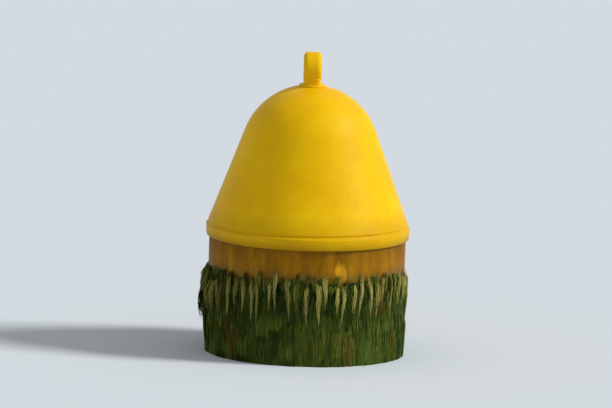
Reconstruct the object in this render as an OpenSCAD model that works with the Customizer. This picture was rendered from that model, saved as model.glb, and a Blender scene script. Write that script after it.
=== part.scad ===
// Conical marker buoy, afloat. A moulded bell laps over a moulded float, and one rod through
// both clamps them between the lifting lug and the ballast, and carries the mooring swivel.
// Millimetres, +Z up, origin on the buoy's axis at the waterline.

/* [Float] */
// Outer diameter of the float's straight side
float_d = 386; // [350:1:430]
// Height of the float's flat top above the waterline
freeboard = 240; // [215:1:280]
// Depth below the waterline at which the straight side ends
straight_draft = 150; // [130:1:200]
// Height of the taper under the straight side
taper_h = 110; // [90:1:140]
// Diameter of the float's flat bottom
bottom_d = 144; // [130:1:170]
// Radius of the rounded knuckle between side and taper
knuckle_r = 40; // [15:1:60]
// Radius of the float's edge at its flat bottom
bottom_edge_r = 12; // [7:0.5:20]
// Radius of the float's top edge
top_edge_r = 6; // [5.5:0.5:9]
// Wall of the float
float_wall = 5; // [3.5:0.5:5]
// Wall of the tube through the float that the rod runs in
tube_wall = 4; // [3:0.5:6]

/* [Bell] */
// How far the rim stands out past the float's side
rim_overhang = 7; // [6:0.5:14]
// How far the rim laps down over the float's top edge
rim_lap = 12; // [8:0.5:18]
// Height of the rim's rounded bead
rim_h = 24; // [18:0.5:30]
// Radius of the bead's two outer edges
rim_edge_r = 4; // [2:0.5:4.5]
// How much the bead draws in from its upper edge to its lower one
rim_draft = 2; // [0:0.25:2.5]
// How far the bead stands out past the foot of the flank
rim_proud = 2.5; // [1:0.5:4]
// Width of the groove between the bead and the flank
groove_w = 5; // [3:0.5:8]
// Depth of that groove
groove_depth = 2; // [1:0.25:2.5]
// Angle of the flank from the axis, in degrees
flank_angle = 20.3; // [17:0.1:24]
// Radius of the domed crown
dome_r = 137; // [122:1:147]
// Wall of the bell
bell_wall = 5; // [4:0.5:7]
// Width of the ledge inside the rim that rests on the float's top
ledge_w = 20; // [12:1:30]
// Thickness of that ledge
ledge_t = 8; // [6:0.5:12]
// Thickness of the crown under the lifting lug
crown_t = 12; // [8:1:18]

/* [Lifting lug] */
// Diameter of the lug's round foot, and of the flat seat that the crown has for it
foot_d = 52; // [50:1:60]
// Height of that foot
foot_h = 4; // [3:0.5:6]
// Radius of the fillet between that foot and the lug's neck
foot_fillet_r = 8; // [4:0.5:9]
// Height of the lug above the crown's seat
lug_h = 68; // [60:1:80]
// Outer diameter of the lug's ring
ring_d = 62; // [54:1:66]
// Thickness of the lug's ring
ring_t = 36; // [30:1:42]
// Radius of the ring's outer edges
ring_edge_r = 9.5; // [4:0.5:10]
// Thickness of the neck between ring and foot
neck_t = 32; // [28:1:36]
// Width of that neck
neck_w = 46; // [42:1:50]
// Diameter of the lifting eye
eye_d = 24; // [18:0.5:28]
// Chamfer at the eye's two mouths
eye_chamfer = 2; // [0.5:0.25:3]
// Depth of the lug's socket for the rod
socket_depth = 18; // [12:1:20]

/* [Through rod] */
// Diameter of the galvanised rod
rod_d = 20; // [16:0.5:22]
// Gap between the rod and each hole that it passes through
rod_gap = 0.3; // [0.2:0.05:0.6]
// Chamfer at the rod's two ends
rod_chamfer = 1.5; // [0.5:0.25:3]
// How far the rod's tail stands out under the swivel's nut
rod_tail = 10; // [8:0.5:14]

/* [Plate and ballast] */
// Diameter of the plate under the float
plate_d = 150; // [135:1:170]
// Thickness of that plate
plate_t = 8; // [6:0.5:12]
// Diameter of each cast ballast disc
disc_d = 190; // [170:1:230]
// Thickness of each cast ballast disc
disc_t = 26; // [20:1:36]
// Radius of a disc's outer edges
disc_edge_r = 5; // [2:0.5:7]
// Diameter of a disc's hub
hub_d = 64; // [56:1:80]
// Width of a disc's raised rim
disc_rim_w = 20; // [12:1:28]
// Depth of the dish cast into each face, between hub and rim
dish_depth = 4; // [2:0.5:6]

/* [Nuts and washers] */
// Width across the flats of the rod's nuts
nut_af = 30; // [28:0.5:34]
// Height of a full nut
nut_h = 16; // [12:0.5:20]
// Height of the thin lock nut
lock_nut_h = 10; // [8:0.5:12]
// Diameter of the washer under the ballast
washer_d = 44; // [38:1:54]
// Thickness of that washer
washer_t = 4; // [3:0.5:6]
// Wire diameter of the split pin in the rod's tail
rod_pin_d = 3.2; // [2.4:0.2:4]

/* [Swivel] */
// Diameter of the bar that the swivel's bow is forged from
swivel_bar_d = 16; // [13:0.5:18]
// Clear width inside the swivel's bow
swivel_w = 46; // [44:1:56]
// Radius of the bow's upper corners, along the bar's middle
swivel_corner_r = 14; // [11:0.5:15]
// Length of the bow's straight sides
swivel_side = 22; // [18:1:36]
// Diameter of the swivel's boss around the rod
boss_d = 40; // [34:1:46]
// Height of that boss
boss_h = 26; // [20:1:32]
// Free length of rod between the lock nut and the boss
swivel_drop = 12; // [8:1:20]
// Diameter of the swivel's lower eye
swivel_eye_d = 46; // [40:1:52]
// Thickness of the swivel's lower eye
swivel_eye_t = 20; // [16:0.5:24]
// Radius of the outer edges of the boss and of the eye
swivel_edge_r = 3; // [1.5:0.25:4]

/* [Shackle] */
// Diameter of the bar that the shackle is bent from
shackle_bar_d = 14; // [12:0.5:16]
// Gap between each ear of the shackle and the swivel's eye
jaw_gap = 4; // [3:0.25:6]
// Diameter of the shackle's bolt
bolt_d = 16; // [13:0.5:17]
// Gap between the bolt and each hole that it passes through
bolt_gap = 0.3; // [0.2:0.05:0.5]
// Diameter of the shackle's ears
ear_d = 32; // [28:1:38]
// How much thicker each ear is than the bar
ear_extra = 1; // [0.5:0.25:3]
// Radius of the outer edges of the ears
ear_edge_r = 2; // [1:0.25:3]
// Distance from the bolt to the centre of the shackle's round bow
bow_drop = 46; // [42:1:60]
// Width across the flats of the bolt's head and nut
bolt_af = 24; // [22:0.5:28]
// Height of the bolt's head
head_h = 10; // [8:0.5:12]
// Height of the bolt's nut
bolt_nut_h = 13; // [10:0.5:15]
// How far the bolt's end stands out past its nut
bolt_tail = 8; // [7:0.5:12]
// Wire diameter of the split pin in the bolt's end
bolt_pin_d = 3; // [2:0.25:3.5]

/* [Filler plug] */
// Diameter of the moulded boss on the float's taper
plug_boss_d = 52; // [44:1:60]
// How far that boss stands out of the taper
plug_boss_h = 4; // [2:0.5:6]
// Diameter of the plug's head
plug_d = 40; // [34:1:42]
// Thickness of the plug's head
plug_t = 5; // [3:0.5:8]
// Diameter of the plug's shank
plug_shank_d = 26; // [20:1:30]
// Length of the plug's shank
plug_shank = 8; // [6:0.5:10]
// Width across the flats of the plug's key socket
plug_key_af = 14; // [10:0.5:17]
// Direction of the plug round the axis, in degrees
plug_turn = 135; // [0:5:355]

/* [Weed] */
// Height of the weed's upper edge above the waterline
weed_top = 182; // [150:1:190]
// Depth that the weed's longest locks hang to below the waterline
weed_drop = 105; // [60:1:110]
// Thickness of the weed over a full lock
weed_t = 8; // [6:0.5:14]
// How much thicker the clump on the buoy's -X side is
clump_t = 14; // [0:0.5:18]
// Number of hanging locks round the float
locks = 30; // [20:1:36]

/* [Hidden] */
$fn = 96;

// Gap left between pieces that rest on each other through a curved or moving face
seat_gap = 0.3;
// Gap between a threaded piece and the hole that it screws into
thread_gap = 0.1;
// Gap between the bell's rim and the float's side
lap_gap = 0.8;
// How far a cutting shape runs past the face that it cuts
past = 1;
// How far a fillet's two ends lie inside the faces that it joins
sunk = 0.4;
// How much wider the crown's flat seat is than the lug's foot, all round
seat_margin = 1;
// How far the swivel's eye lies under the inner face of its bow
eye_inset = 1;
// How much smaller than its flats the round face of a nut or bolt head is, all round
face_inset = 0.3;

float_r = float_d / 2;
rod_r = rod_d / 2;
nut_bore_r = rod_r + thread_gap;
bolt_r = bolt_d / 2;
swivel_bar_r = swivel_bar_d / 2;
shackle_bar_r = shackle_bar_d / 2;

// Levels from the float's top up to the lug, where the flank touches the dome
rim_bottom_z = freeboard - rim_lap;
rim_top_z = rim_bottom_z + rim_h;
rim_r = float_r + rim_overhang;
flank_r = rim_r - rim_proud;
touch_r = dome_r * cos(flank_angle);
touch_z = rim_top_z + (flank_r - touch_r) / tan(flank_angle);
groove_top_z = rim_top_z + groove_w;
groove_top_r = flank_r - groove_w * tan(flank_angle);
dome_z = touch_z - dome_r * sin(flank_angle);
seat_r = foot_d / 2 + seat_margin;
seat_z = dome_z + sqrt(pow(dome_r, 2) - pow(seat_r, 2));
eye_z = seat_z + lug_h - ring_d / 2;

// Levels from the float's bottom down to the shackle's bolt
bottom_z = -straight_draft - taper_h;
plate_z = bottom_z - plate_t;
stack_z = plate_z - 2 * disc_t;
washer_z = stack_z - washer_t;
clamp_nut_z = washer_z - nut_h;
lock_nut_z = clamp_nut_z - lock_nut_h;
boss_top_z = lock_nut_z - swivel_drop;
boss_z = boss_top_z - boss_h;
swivel_nut_z = boss_z - seat_gap - nut_h;
rod_end_z = swivel_nut_z - rod_tail;
beam_z = boss_top_z - boss_h / 2;
corner_z = beam_z - swivel_corner_r;
side_x = swivel_w / 2 + swivel_bar_r;
lower_z = corner_z - swivel_side;
bolt_z = lower_z - side_x + swivel_bar_r - eye_inset - swivel_eye_d / 2;

// The shackle across its jaw, along Y
ear_y = swivel_eye_t / 2 + jaw_gap;
ear_t = shackle_bar_d + ear_extra;
leg_y = ear_y + ear_t / 2;
bow_z = bolt_z - bow_drop;

// The taper's middle and its slope, where the filler plug sits
plug_r = (float_r + bottom_d / 2) / 2;
plug_z = -straight_draft - taper_h / 2;
taper_slope = atan(taper_h / (float_r - bottom_d / 2));

function unit(v) = v / norm(v);
function half_angle(a, c, b) = acos(unit(a - c) * unit(b - c)) / 2;
function bisector(a, c, b) = unit(unit(a - c) + unit(b - c));
function spot(corner) = [corner[0], corner[1]];
function before(list, i) = spot(list[(i + len(list) - 1) % len(list)]);
function after(list, i) = spot(list[(i + 1) % len(list)]);

// The same outline, moved inwards by one wall. Each corner is [x, z, radius].
function inset(corners, wall) = [
    for (i = [0 : len(corners) - 1])
        let (a = before(corners, i), c = spot(corners[i]), b = after(corners, i),
             p = c + bisector(a, c, b) * wall / sin(half_angle(a, c, b)))
        [p[0], p[1], max(0, corners[i][2] - wall)]
];

// A convex outline with true arcs at its corners. Each corner is [x, z, radius].
module rounded(corners) {
    polygon([
        for (i = [0 : len(corners) - 1])
            let (a = before(corners, i), c = spot(corners[i]), b = after(corners, i),
                 run = corners[i][2] / tan(half_angle(a, c, b)))
            each (run > 0 ? [c + unit(a - c) * run, c + unit(b - c) * run] : [c])
    ]);
    for (i = [0 : len(corners) - 1]) {
        a = before(corners, i);
        c = spot(corners[i]);
        b = after(corners, i);
        if (corners[i][2] > 0)
            translate(c + bisector(a, c, b) * corners[i][2] / sin(half_angle(a, c, b)))
                circle(r = corners[i][2]);
    }
}

// A band of the half plane, from the radius r1 to r2 and from the level z1 to z2
module band(r1, r2, z1, z2) {
    translate([r1, z1]) square([r2 - r1, z2 - z1]);
}

// A disc turned about Z, with a chamfer on its two edges
module turned_disc(r, z, h, chamfer) {
    rotate_extrude()
        polygon([
            [0, z], [r - chamfer, z], [r, z + chamfer],
            [r, z + h - chamfer], [r - chamfer, z + h], [0, z + h]
        ]);
}

// A disc turned about Z, with its two edges rounded as in a forging
module forged_disc(r, z, h, edge_r) {
    rotate_extrude()
        rounded([[0, z, 0], [r, z, edge_r], [r, z + h, edge_r], [0, z + h, 0]]);
}

// A ring turned about Z, with a chamfer on its four edges
module turned_ring(r_out, r_in, z, h, chamfer) {
    rotate_extrude()
        polygon([
            [r_in, z + chamfer], [r_in + chamfer, z], [r_out - chamfer, z],
            [r_out, z + chamfer], [r_out, z + h - chamfer], [r_out - chamfer, z + h],
            [r_in + chamfer, z + h], [r_in, z + h - chamfer]
        ]);
}

// A hexagon along Z from z up, with the corners of both faces turned off at 30 degrees
module hexagon(af, h, z, both = true) {
    corner_r = af / sqrt(3);
    face_r = af / 2 - face_inset;
    far_r = corner_r + past;
    drop = (far_r - face_r) * tan(30);
    translate([0, 0, z])
        intersection() {
            cylinder(r = corner_r, h = h, $fn = 6);
            rotate_extrude()
                polygon([
                    [0, 0], [both ? face_r : far_r, 0], each (both ? [[far_r, drop]] : []),
                    [far_r, h - drop], [face_r, h], [0, h]
                ]);
        }
}

// A hexagon nut on the rod or the bolt
module nut(af, h, z, bore_r) {
    difference() {
        hexagon(af, h, z);
        translate([0, 0, z - past]) cylinder(r = bore_r, h = h + 2 * past);
    }
}

// A split pin along X: an eye at one end and two legs, bent apart at the other. Each leg is a
// little thinner than half the wire, so that the two stay apart inside the hole.
module split_pin(wire_d, grip) {
    leg_offset = wire_d / 4;
    leg_r = leg_offset * 0.96;
    run = grip + wire_d;
    bend = 35;
    bent_run = wire_d * 1.6;
    eye_r = wire_d * 0.9;
    eye_wire_r = wire_d * 0.4;
    for (side = [-1, 1]) {
        translate([-run / 2, 0, side * leg_offset]) rotate([0, 90, 0])
            cylinder(r = leg_r, h = run, $fn = 24);
        translate([run / 2 - leg_r / 5, 0, side * leg_offset]) rotate([0, 90 - side * bend, 0])
            cylinder(r = leg_r, h = bent_run, $fn = 24);
    }
    translate([-run / 2 - eye_r, 0, 0]) rotate([90, 0, 0])
        rotate_extrude($fn = 48) translate([eye_r, 0]) circle(r = eye_wire_r, $fn = 24);
}

// The bell: a dome that runs into a cone, with a groove and a rounded bead at its rim. Inside
// the rim a ledge rests on the float's top, and the crown is thick under the lifting lug.
module bell_solid_section() {
    intersection() {
        translate([0, dome_z]) circle(r = dome_r, $fn = 200);
        band(0, dome_r, touch_z, seat_z);
    }
    polygon([
        [0, groove_top_z], [groove_top_r, groove_top_z], [touch_r, touch_z], [0, touch_z]
    ]);
    polygon([
        [0, rim_top_z - rim_edge_r], [flank_r - groove_depth, rim_top_z - rim_edge_r],
        [flank_r - groove_depth, rim_top_z], [groove_top_r - groove_depth, groove_top_z],
        [0, groove_top_z]
    ]);
    rounded([
        [0, rim_bottom_z, 0], [rim_r - rim_draft, rim_bottom_z, rim_edge_r],
        [rim_r, rim_top_z, rim_edge_r], [0, rim_top_z, 0]
    ]);
}

module bell_hollow_section() {
    ledge_top_z = freeboard + ledge_t;
    inner_touch_r = touch_r - bell_wall * cos(flank_angle);
    inner_touch_z = touch_z - bell_wall * sin(flank_angle);
    inner_foot_r = inner_touch_r + (inner_touch_z - ledge_top_z) * tan(flank_angle);
    difference() {
        union() {
            intersection() {
                translate([0, dome_z]) circle(r = dome_r - bell_wall, $fn = 200);
                band(0, dome_r, inner_touch_z, seat_z);
            }
            polygon([
                [0, ledge_top_z], [inner_foot_r, ledge_top_z],
                [inner_touch_r, inner_touch_z], [0, inner_touch_z]
            ]);
        }
        band(-past, seat_r, seat_z - crown_t, seat_z + past);
    }
    band(-past, float_r - top_edge_r - ledge_w, freeboard - past, ledge_top_z + past);
    band(-past, float_r + lap_gap, rim_bottom_z - past, freeboard);
    band(-past, rod_r + rod_gap, freeboard, seat_z + past);
}

module bell() {
    color([0.93, 0.74, 0.02])
        rotate_extrude()
            difference() {
                bell_solid_section();
                bell_hollow_section();
            }
}

// The fillet that runs round the lug's neck down to its foot
module foot_fillet() {
    centre_r = neck_t / 2 - sunk + foot_fillet_r;
    centre_z = seat_z + foot_h - sunk + foot_fillet_r;
    rotate_extrude()
        difference() {
            band(0, centre_r, seat_z + foot_h / 2, centre_z);
            translate([centre_r, centre_z]) circle(r = foot_fillet_r);
        }
}

// The lifting lug: a moulded ring on a flat neck and a round foot, its eye along X
module lifting_lug() {
    edge_r = min(ring_edge_r, (ring_d - eye_d) / 4);
    mouth = ring_t / 2 + past;
    color([0.93, 0.74, 0.02])
        difference() {
            union() {
                turned_disc(foot_d / 2, seat_z, foot_h, chamfer = 1.2);
                foot_fillet();
                translate([0, 0, eye_z]) rotate([0, 90, 0])
                    rotate_extrude()
                        rounded([
                            [0, -ring_t / 2, 0], [ring_d / 2, -ring_t / 2, edge_r],
                            [ring_d / 2, ring_t / 2, edge_r], [0, ring_t / 2, 0]
                        ]);
                translate([0, 0, seat_z + foot_h / 2])
                    linear_extrude(eye_z - seat_z - foot_h / 2)
                        rounded([
                            [-neck_t / 2, -neck_w / 2, ring_edge_r], [neck_t / 2, -neck_w / 2, ring_edge_r],
                            [neck_t / 2, neck_w / 2, ring_edge_r], [-neck_t / 2, neck_w / 2, ring_edge_r]
                        ]);
            }
            translate([0, 0, eye_z]) rotate([0, 90, 0])
                rotate_extrude()
                    polygon([
                        [0, -mouth], [eye_d / 2 + eye_chamfer + past, -mouth],
                        [eye_d / 2, -mouth + eye_chamfer + past], [eye_d / 2, mouth - eye_chamfer - past],
                        [eye_d / 2 + eye_chamfer + past, mouth], [0, mouth]
                    ]);
            translate([0, 0, seat_z - past])
                cylinder(r = rod_r + thread_gap, h = socket_depth + past);
        }
}

// The float: a closed moulded shell with a tube up its middle for the rod
function float_outline() = [
    [0, freeboard, 0], [float_r, freeboard, top_edge_r],
    [float_r, -straight_draft, knuckle_r], [bottom_d / 2, bottom_z, bottom_edge_r],
    [0, bottom_z, 0]
];

// Places a piece on the taper, with its own +Z square out of the taper's face
module on_taper() {
    rotate([0, 0, plug_turn])
        translate([plug_r, 0, plug_z])
            rotate([0, 180 - taper_slope, 0])
                children();
}

module float() {
    tube_r = rod_r + rod_gap;
    color([0.87, 0.66, 0.04])
        difference() {
            union() {
                rotate_extrude()
                    difference() {
                        rounded(float_outline());
                        difference() {
                            rounded(inset(float_outline(), float_wall));
                            band(-past, tube_r + tube_wall, bottom_z, freeboard);
                        }
                        band(-past, tube_r, bottom_z - past, freeboard + past);
                    }
                on_taper() translate([0, 0, -float_wall - plug_shank])
                    cylinder(d = plug_boss_d, h = float_wall + plug_shank + plug_boss_h);
            }
            on_taper() translate([0, 0, plug_boss_h - plug_shank - seat_gap])
                cylinder(r = plug_shank_d / 2 + thread_gap, h = plug_shank + seat_gap + past);
        }
}

// The screw plug that closes the hole the foam went in by
module filler_plug() {
    color([0.12, 0.12, 0.12])
        on_taper() translate([0, 0, plug_boss_h])
            difference() {
                union() {
                    turned_disc(plug_d / 2, 0, plug_t, chamfer = 1);
                    translate([0, 0, -plug_shank])
                        cylinder(d = plug_shank_d, h = plug_shank + plug_t / 2);
                }
                translate([0, 0, -plug_shank / 2])
                    cylinder(d = plug_key_af / cos(30), h = plug_shank + plug_t, $fn = 6);
            }
}

// The rod: from the lug's socket through bell, float and ballast to the swivel's nut
module through_rod() {
    top_z = seat_z + socket_depth - seat_gap;
    color([0.55, 0.56, 0.55])
        difference() {
            rotate_extrude()
                polygon([
                    [0, rod_end_z], [rod_r - rod_chamfer, rod_end_z], [rod_r, rod_end_z + rod_chamfer],
                    [rod_r, top_z - rod_chamfer], [rod_r - rod_chamfer, top_z], [0, top_z]
                ]);
            translate([0, 0, rod_end_z + rod_tail / 2]) rotate([0, 90, 0])
                cylinder(d = rod_pin_d + 2 * thread_gap, h = rod_d + 2 * past, center = true);
        }
}

module rod_split_pin() {
    color([0.60, 0.60, 0.58])
        translate([0, 0, rod_end_z + rod_tail / 2]) split_pin(rod_pin_d, rod_d);
}

module bottom_plate() {
    color([0.55, 0.56, 0.55])
        turned_ring(plate_d / 2, rod_r + rod_gap, plate_z, plate_t, chamfer = 1);
}

// A cast disc, dished on both faces between its hub and its rim
module ballast_disc(top_z) {
    mid_z = top_z - disc_t / 2;
    dish_r1 = hub_d / 2;
    dish_r2 = disc_d / 2 - disc_rim_w;
    color([0.30, 0.22, 0.17])
        rotate_extrude()
            difference() {
                rounded([
                    [0, mid_z - disc_t / 2, 0], [disc_d / 2, mid_z - disc_t / 2, disc_edge_r],
                    [disc_d / 2, mid_z + disc_t / 2, disc_edge_r], [0, mid_z + disc_t / 2, 0]
                ]);
                band(-past, rod_r + rod_gap, mid_z - disc_t, mid_z + disc_t);
                for (face = [-1, 1])
                    polygon([
                        [dish_r1, mid_z + face * (disc_t / 2 + past)],
                        [dish_r1 + dish_depth, mid_z + face * (disc_t / 2 - dish_depth)],
                        [dish_r2 - dish_depth, mid_z + face * (disc_t / 2 - dish_depth)],
                        [dish_r2, mid_z + face * (disc_t / 2 + past)]
                    ]);
            }
}

module ballast_washer() {
    color([0.55, 0.56, 0.55])
        turned_ring(washer_d / 2, rod_r + rod_gap, washer_z, washer_t, chamfer = 0.5);
}

// Weed: a mat round the waterline that hangs in locks. Each lock is a ridge, thickest a third
// of the way down, and its tip hangs lower than the valleys beside it.
steps = 4;
rows = 9;
columns = locks * steps;
// Thickness of the mat in the valleys
mat_t = 2;
// How far roots and tips scatter in height, and how much each draws back in a valley
root_scatter = 14;
root_valley = 8;
tip_scatter = 40;
tip_valley = 22;

function waver(i) = (sin(i * 137.5) + sin(i * 61.3 + 40)) / 4 + 0.5;
function lock_of(i) = floor(i / steps) % locks;
function ridge(i) = 0.5 - 0.5 * cos(360 * ((i % steps) + 0.5) / steps);
function turn_of(i) = 360 * i / columns;
function clump(i) = pow(max(0, -cos(turn_of(i))), 6);
function swell(v) = 0.35 + 0.65 * sin(180 * pow(v, 0.6));
function top_of(i) = weed_top - root_scatter * waver(lock_of(i) + 7) - root_valley * (1 - ridge(i));
function tip_of(i) = -weed_drop + tip_scatter * waver(lock_of(i)) + tip_valley * (1 - ridge(i));
function thick_of(i, v) = mat_t + swell(v) * (
    weed_t * (0.35 + 0.65 * ridge(i)) * (0.55 + 0.45 * waver(lock_of(i) + 3))
    + clump_t * clump(i) * pow(1 - v, 1.5)
);
function at(r, turn, z) = [r * cos(turn), r * sin(turn), z];

module weed_beard() {
    inner_r = (float_r + seat_gap) / cos(180 / columns);
    outer = [
        for (j = [0 : rows], i = [0 : columns - 1])
            let (v = j / rows)
            at(inner_r + thick_of(i, v), turn_of(i), top_of(i) + (tip_of(i) - top_of(i)) * v)
    ];
    inner = [
        for (end = [0, 1], i = [0 : columns - 1])
            at(inner_r, turn_of(i), end == 0 ? top_of(i) : tip_of(i))
    ];
    in_top = len(outer);
    in_tip = in_top + columns;
    color([0.16, 0.20, 0.06])
        polyhedron(
            points = concat(outer, inner),
            faces = [
                for (i = [0 : columns - 1])
                    let (k = (i + 1) % columns, last = rows * columns)
                    each concat(
                        [for (j = [0 : rows - 1]) let (a = j * columns)
                            each [[a + i, a + k, a + columns + i],
                                  [a + k, a + columns + k, a + columns + i]]],
                        [[in_top + i, in_top + k, i], [in_top + k, k, i]],
                        [[last + i, last + k, in_tip + i], [last + k, in_tip + k, in_tip + i]],
                        [[in_tip + i, in_tip + k, in_top + i], [in_tip + k, in_top + k, in_top + i]]
                    )
            ]
        );
}

// The swivel: a forged bow whose boss turns on the rod, with an eye along Y at its foot
module swivel_bow() {
    color([0.50, 0.50, 0.48])
        difference() {
            union() {
                forged_disc(boss_d / 2, boss_z, boss_h, swivel_edge_r);
                translate([0, 0, beam_z]) rotate([0, 90, 0])
                    cylinder(r = swivel_bar_r, h = 2 * (side_x - swivel_corner_r), center = true);
                for (side = [-1, 1]) {
                    translate([side * (side_x - swivel_corner_r), 0, corner_z])
                        rotate([90, side > 0 ? 0 : -90, 0])
                            rotate_extrude(angle = 90)
                                translate([swivel_corner_r, 0]) circle(r = swivel_bar_r);
                    translate([side * side_x, 0, lower_z])
                        cylinder(r = swivel_bar_r, h = swivel_side);
                }
                translate([0, 0, lower_z]) rotate([90, 180, 0])
                    rotate_extrude(angle = 180)
                        translate([side_x, 0]) circle(r = swivel_bar_r);
                translate([0, 0, bolt_z]) rotate([90, 0, 0])
                    forged_disc(swivel_eye_d / 2, -swivel_eye_t / 2, swivel_eye_t, swivel_edge_r);
            }
            translate([0, 0, boss_z - past])
                cylinder(r = rod_r + rod_gap, h = boss_h + 2 * past);
            translate([0, 0, bolt_z]) rotate([90, 0, 0])
                cylinder(r = bolt_r + bolt_gap, h = swivel_eye_t + 2 * past, center = true);
        }
}

// The shackle: two ears on a bar bent into a U
module shackle_bow() {
    color([0.50, 0.50, 0.48])
        difference() {
            union() {
                for (side = [-1, 1]) {
                    translate([0, side * leg_y, bolt_z]) rotate([90, 0, 0])
                        forged_disc(ear_d / 2, -ear_t / 2, ear_t, ear_edge_r);
                    translate([0, side * leg_y, bow_z])
                        cylinder(r = shackle_bar_r, h = bow_drop);
                }
                translate([0, 0, bow_z]) rotate([90, 180, 90])
                    rotate_extrude(angle = 180)
                        translate([leg_y, 0]) circle(r = shackle_bar_r);
            }
            translate([0, 0, bolt_z]) rotate([90, 0, 0])
                cylinder(r = bolt_r + bolt_gap, h = 2 * (ear_y + ear_t + past), center = true);
        }
}

// Turns a piece from its own +Z to the bolt's axis, with its 0 at the bolt's middle
module on_bolt() {
    translate([0, 0, bolt_z]) rotate([90, 0, 0]) children();
}

module shackle_bolt() {
    end = ear_y + ear_t;
    tail = end + bolt_nut_h + bolt_tail;
    color([0.55, 0.56, 0.55])
        on_bolt()
            difference() {
                union() {
                    mirror([0, 0, 1]) hexagon(bolt_af, head_h, end, both = false);
                    translate([0, 0, -end]) cylinder(r = bolt_r, h = end + tail);
                }
                translate([0, 0, tail - bolt_tail / 2]) rotate([0, 90, 0])
                    cylinder(d = bolt_pin_d + 2 * thread_gap, h = bolt_d + 2 * past, center = true);
            }
}

module shackle_nut() {
    color([0.55, 0.56, 0.55])
        on_bolt() nut(bolt_af, bolt_nut_h, ear_y + ear_t, bolt_r + thread_gap);
}

module bolt_split_pin() {
    color([0.60, 0.60, 0.58])
        on_bolt() translate([0, 0, ear_y + ear_t + bolt_nut_h + bolt_tail / 2])
            split_pin(bolt_pin_d, bolt_d);
}

bell();
lifting_lug();
float();
filler_plug();
through_rod();
bottom_plate();
ballast_disc(plate_z);  // ballast_disc_upper
ballast_disc(plate_z - disc_t);  // ballast_disc_lower
ballast_washer();
color([0.55, 0.56, 0.55]) nut(nut_af, nut_h, clamp_nut_z, nut_bore_r);  // clamp_nut
color([0.55, 0.56, 0.55]) nut(nut_af, lock_nut_h, lock_nut_z, nut_bore_r);  // lock_nut
color([0.55, 0.56, 0.55]) nut(nut_af, nut_h, swivel_nut_z, nut_bore_r);  // swivel_nut
rod_split_pin();
weed_beard();
swivel_bow();
shackle_bow();
shackle_bolt();
shackle_nut();
bolt_split_pin();
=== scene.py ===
# A small conical marker buoy. Metres, +Z up, with the origin on its axis at the waterline.
import math

import bpy
import numpy as np
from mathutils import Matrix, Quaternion, Vector


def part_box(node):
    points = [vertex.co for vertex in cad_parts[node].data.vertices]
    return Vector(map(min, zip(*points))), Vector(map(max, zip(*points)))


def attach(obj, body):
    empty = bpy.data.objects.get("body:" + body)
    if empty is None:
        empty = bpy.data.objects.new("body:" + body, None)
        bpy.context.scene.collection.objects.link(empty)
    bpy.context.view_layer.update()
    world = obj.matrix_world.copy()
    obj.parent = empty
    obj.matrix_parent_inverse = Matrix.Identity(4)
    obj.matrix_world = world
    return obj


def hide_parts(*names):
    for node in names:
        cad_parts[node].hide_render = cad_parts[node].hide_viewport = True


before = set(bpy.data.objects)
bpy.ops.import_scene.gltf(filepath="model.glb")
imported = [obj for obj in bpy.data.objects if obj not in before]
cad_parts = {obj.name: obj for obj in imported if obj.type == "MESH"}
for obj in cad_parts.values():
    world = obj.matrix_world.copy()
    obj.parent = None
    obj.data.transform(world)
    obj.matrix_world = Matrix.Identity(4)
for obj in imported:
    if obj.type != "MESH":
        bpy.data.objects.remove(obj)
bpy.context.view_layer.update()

# The camera: a long lens, far off and a little above the buoy. The buoy leaned a little to the right, so the
# camera is rolled by that much, and the buoy stays upright in its own frame.
picture_ratio = 612 / 408
picture_height = 0.80
view_distance = 24.0
view_elevation = math.radians(8.5)
view_roll = math.radians(1.8)
aim = Vector((-0.005, 0, 0.292))

camera = bpy.data.objects.new("camera", bpy.data.cameras.new("camera"))
camera.data.sensor_width = 36
camera.data.lens = camera.data.sensor_width * view_distance / (picture_height * picture_ratio)
camera.data.clip_end = 300
towards = Vector((0, math.cos(view_elevation), -math.sin(view_elevation)))
camera.location = aim - towards * view_distance
camera.rotation_mode = "QUATERNION"
camera.rotation_quaternion = towards.to_track_quat("-Z", "Y") @ Quaternion((0, 0, 1), view_roll)
bpy.context.scene.collection.objects.link(camera)
bpy.context.scene.camera = camera
bpy.context.scene.view_settings.view_transform = "Standard"


# The light: a low sun behind thin cloud, from the right, and a pale sky all round, over a plain pale floor at
# the waterline. Camera, glossy and transmitted rays see a sky that is brighter than what lights the buoy.
def linear(hex_colour):
    """An sRGB hex colour as linear RGBA: each channel is decoded by the sRGB curve."""
    channels = [int(hex_colour[i:i + 2], 16) / 255 for i in (1, 3, 5)]
    decoded = [c / 12.92 if c <= 0.04045 else ((c + 0.055) / 1.055) ** 2.4 for c in channels]
    return (*decoded, 1.0)


def add(tree, kind, inputs=None, out=0, stops=(), **settings):
    """Adds one node with its settings, then its values, hex colours and links, and a ramp's stops, and
    returns one of its outputs. Sockets that share a name go by number: a Math node's are 0, 1 and 2, and a
    colour Mix has its factor at 0, its colours at 6 and 7, and its result at 2."""
    made = tree.nodes.new("ShaderNode" + kind)
    for name, value in settings.items():
        setattr(made, name, value)
    for name, value in (inputs or {}).items():
        if isinstance(value, bpy.types.NodeSocket):
            tree.links.new(value, made.inputs[name])
        else:
            made.inputs[name].default_value = linear(value) if isinstance(value, str) else value
    for _ in stops[2:]:
        made.color_ramp.elements.new(0.5)
    for i, (place, colour) in enumerate(stops):
        made.color_ramp.elements[i].position = place
        made.color_ramp.elements[i].color = linear(colour)
    return made.outputs[out] if len(made.outputs) else made


def new_material(recipe, name=None, **settings):
    """A material named for its recipe, which adds nodes to an empty tree and returns the shader."""
    made = bpy.data.materials.new(name or recipe.__name__)
    made.use_nodes = True
    made.node_tree.nodes.clear()
    shader = recipe(made.node_tree, **settings)
    add(made.node_tree, "OutputMaterial", {"Surface": shader})
    return made


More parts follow.
